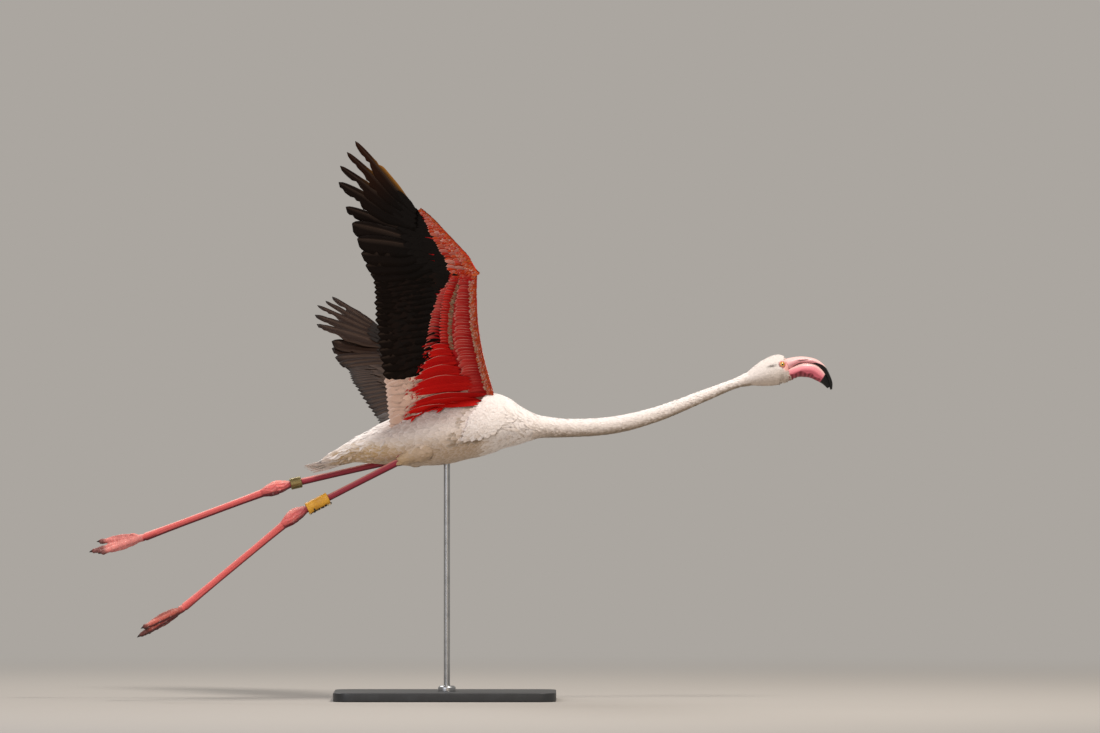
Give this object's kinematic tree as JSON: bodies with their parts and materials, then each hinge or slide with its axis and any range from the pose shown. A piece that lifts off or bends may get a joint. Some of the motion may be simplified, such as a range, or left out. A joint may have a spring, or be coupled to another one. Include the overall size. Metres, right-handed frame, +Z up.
{
  "type": "greater flamingo, still museum model in flight",
  "caption": "Life-size still model of a greater flamingo flying with raised wings, outstretched neck and trailing legs, on a flat base with one rod.",
  "frame": {"origin": "middle of the underside of the stand base", "axes": "+X the way the bird flies, +Y its left side, +Z up"},
  "size_m": [1.6686, 1.1211, 1.2501],
  "materials": {
    "plumage": "soft white contour feathers with a faint pink flush",
    "wing_coverts": "crimson wing coverts with pink and orange edges",
    "flight_feathers": "black flight feathers with a low sheen",
    "tertials": "pale pink inner wing feathers",
    "leg_skin": "scaly coral pink leg skin",
    "bill_upper": "pale pink horn with a black tip",
    "bill_lower": "rose pink horn with a black tip",
    "eye": "wet golden iris with a dark pupil",
    "ring_yellow": "worn yellow plastic leg ring",
    "ring_metal": "worn metal leg ring",
    "stand_base": "satin black lacquer",
    "stand_steel": "brushed steel"
  },
  "bodies": {
    "root": {"ankle_left": "leg_skin", "ankle_right": "leg_skin", "bill_lower": "bill_lower", "bill_upper": "bill_upper", "eye_left": "eye", "eye_right": "eye", "foot_left": "leg_skin", "foot_right": "leg_skin", "forearm_left": "wing_coverts", "forearm_right": "wing_coverts", "hand_left": "wing_coverts", "hand_right": "wing_coverts", "head": "plumage", "neck_1": "plumage", "neck_2": "plumage", "neck_3": "plumage", "neck_4": "plumage", "primaries_inner_left": "flight_feathers", "primaries_inner_right": "flight_feathers", "primary_10_left": "flight_feathers", "primary_10_right": "flight_feathers", "primary_7_left": "flight_feathers", "primary_7_right": "flight_feathers", "primary_8_left": "flight_feathers", "primary_8_right": "flight_feathers", "primary_9_left": "flight_feathers", "primary_9_right": "flight_feathers", "ring_metal_left": "ring_metal", "ring_tall_right": "ring_yellow", "secondaries_inner_left": "flight_feathers", "secondaries_inner_right": "flight_feathers", "secondaries_outer_left": "flight_feathers", "secondaries_outer_right": "flight_feathers", "shin_left": "leg_skin", "shin_right": "leg_skin", "stand_base": "stand_base", "stand_collar": "stand_steel", "stand_rod": "stand_steel", "tail": "plumage", "tarsus_left": "leg_skin", "tarsus_right": "leg_skin", "tertials_left": "tertials", "tertials_right": "tertials", "thigh_left": "plumage", "thigh_right": "plumage", "trunk": "plumage", "upper_arm_left": "wing_coverts", "upper_arm_right": "wing_coverts"}
  },
  "joints": []
}
